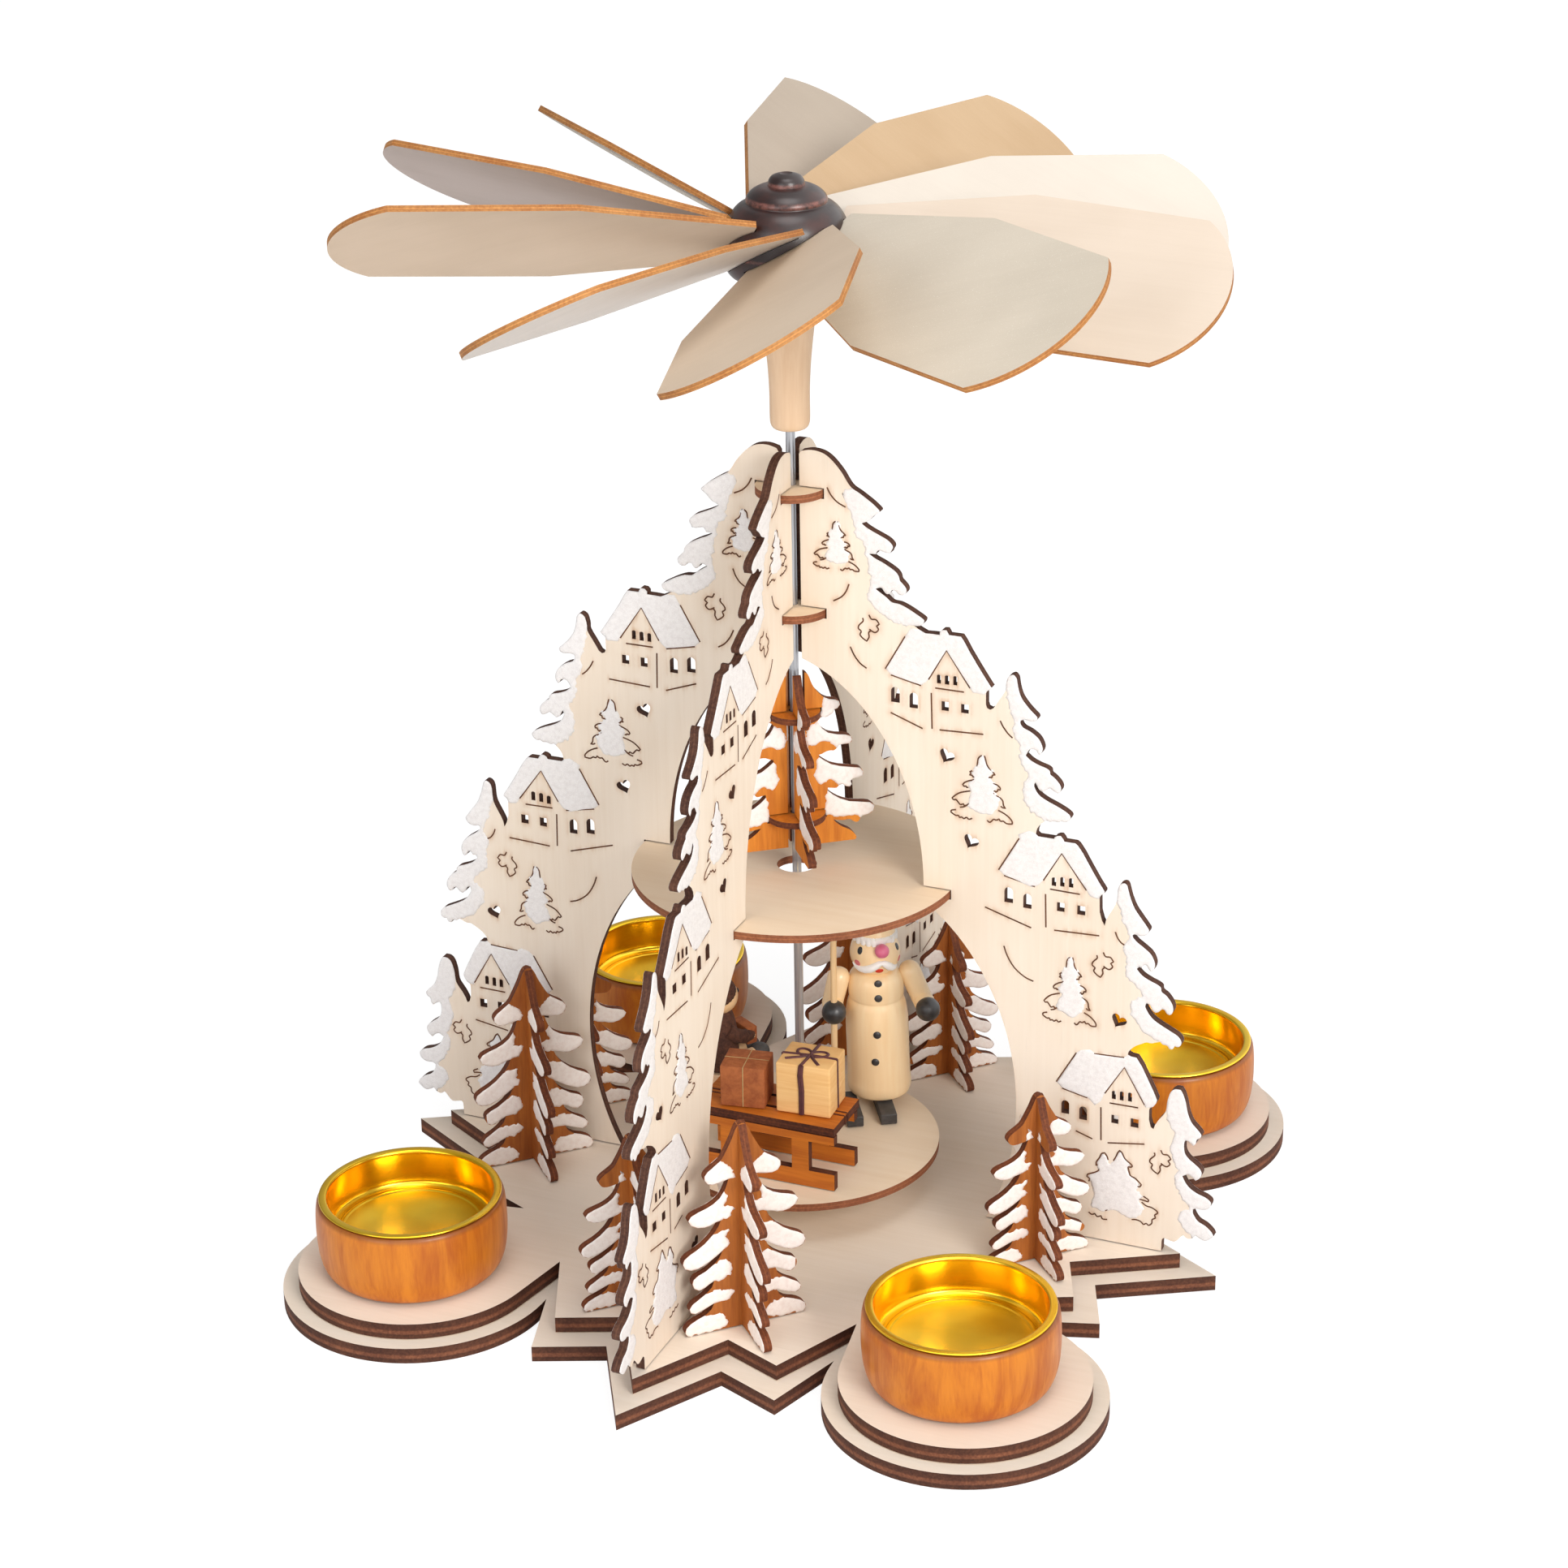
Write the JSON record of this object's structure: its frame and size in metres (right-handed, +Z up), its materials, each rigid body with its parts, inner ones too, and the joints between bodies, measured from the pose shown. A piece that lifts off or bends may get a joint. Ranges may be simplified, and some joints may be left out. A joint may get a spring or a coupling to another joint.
{
  "type": "candle carousel",
  "caption": "Wooden candle carousel: fan-driven rotor with figures on a turntable, laser-cut village silhouettes and tea-light cups on a star-shaped base.",
  "frame": {"origin": "on the shaft's axis, at the underside of the base", "axes": "+Z up along the shaft; X and Y along the four wings, -Y towards the front wing and +X towards the right wing"},
  "size_m": [0.219, 0.219, 0.2716],
  "materials": {
    "birch_plywood": "light birch plywood, laser-cut with burnt brown edges, white snow paint",
    "base_birch": "pale greyish birch plywood with burnt brown edges",
    "blade_birch": "thin pale plywood with orange-brown cut edges",
    "fir_stain": "orange-brown stained plywood with white snow paint",
    "tree_stain": "bright orange stained plywood with white snow paint",
    "cup_stain": "turned wood, amber stain, satin varnish",
    "dark_stain": "turned wood, near-black brown stain, semi-gloss",
    "natural_wood": "turned light wood, satin varnish",
    "gift_brown_stain": "brown stained wood, matt",
    "black_paint": "black painted wood, semi-gloss",
    "brass": "bright polished brass sheet",
    "steel": "bright drawn steel rod"
  },
  "bodies": {
    "frame": {"base_lower_plate": "base_birch", "base_upper_plate": "base_birch", "wing_front": "birch_plywood", "wing_right": "birch_plywood", "wing_back": "birch_plywood", "wing_left": "birch_plywood", "mid_platform": "birch_plywood", "upper_ring": "birch_plywood", "lower_ring": "birch_plywood", "pivot_bearing": "brass", "cup_1": "cup_stain", "cup_2": "cup_stain", "cup_3": "cup_stain", "cup_4": "cup_stain", "insert_1": "brass", "insert_2": "brass", "insert_3": "brass", "insert_4": "brass", "fir_1": "fir_stain", "fir_2": "fir_stain", "fir_3": "fir_stain", "fir_4": "fir_stain", "fir_5": "fir_stain", "fir_6": "fir_stain", "fir_7": "fir_stain", "fir_8": "fir_stain"},
    "rotor": {"shaft": "steel", "hub": "dark_stain", "sleeve": "natural_wood", "blade_1": "blade_birch", "blade_2": "blade_birch", "blade_3": "blade_birch", "blade_4": "blade_birch", "blade_5": "blade_birch", "blade_6": "blade_birch", "blade_7": "blade_birch", "blade_8": "blade_birch", "blade_9": "blade_birch", "blade_10": "blade_birch", "turntable": "base_birch", "tree_panel_1": "tree_stain", "tree_panel_2": "tree_stain", "tree_panel_3": "tree_stain", "tree_panel_4": "tree_stain", "tree_disc_upper": "tree_stain", "tree_disc_lower": "tree_stain", "man_body": "natural_wood", "man_head": "natural_wood", "man_arm_left": "natural_wood", "man_arm_right": "natural_wood", "man_boot_left": "black_paint", "man_boot_right": "black_paint", "man_staff": "natural_wood", "sled_side_front": "fir_stain", "sled_side_back": "fir_stain", "sled_deck": "fir_stain", "gift_brown": "gift_brown_stain", "gift_natural": "natural_wood", "child_figure": "gift_brown_stain", "child_seat": "natural_wood"}
  },
  "joints": [
    {"name": "rotor_spin", "type": "hinge", "parent": "frame", "child": "rotor", "pos_m": [0, 0, 0], "axis": [0, 0, 1], "continuous": true}
  ]
}
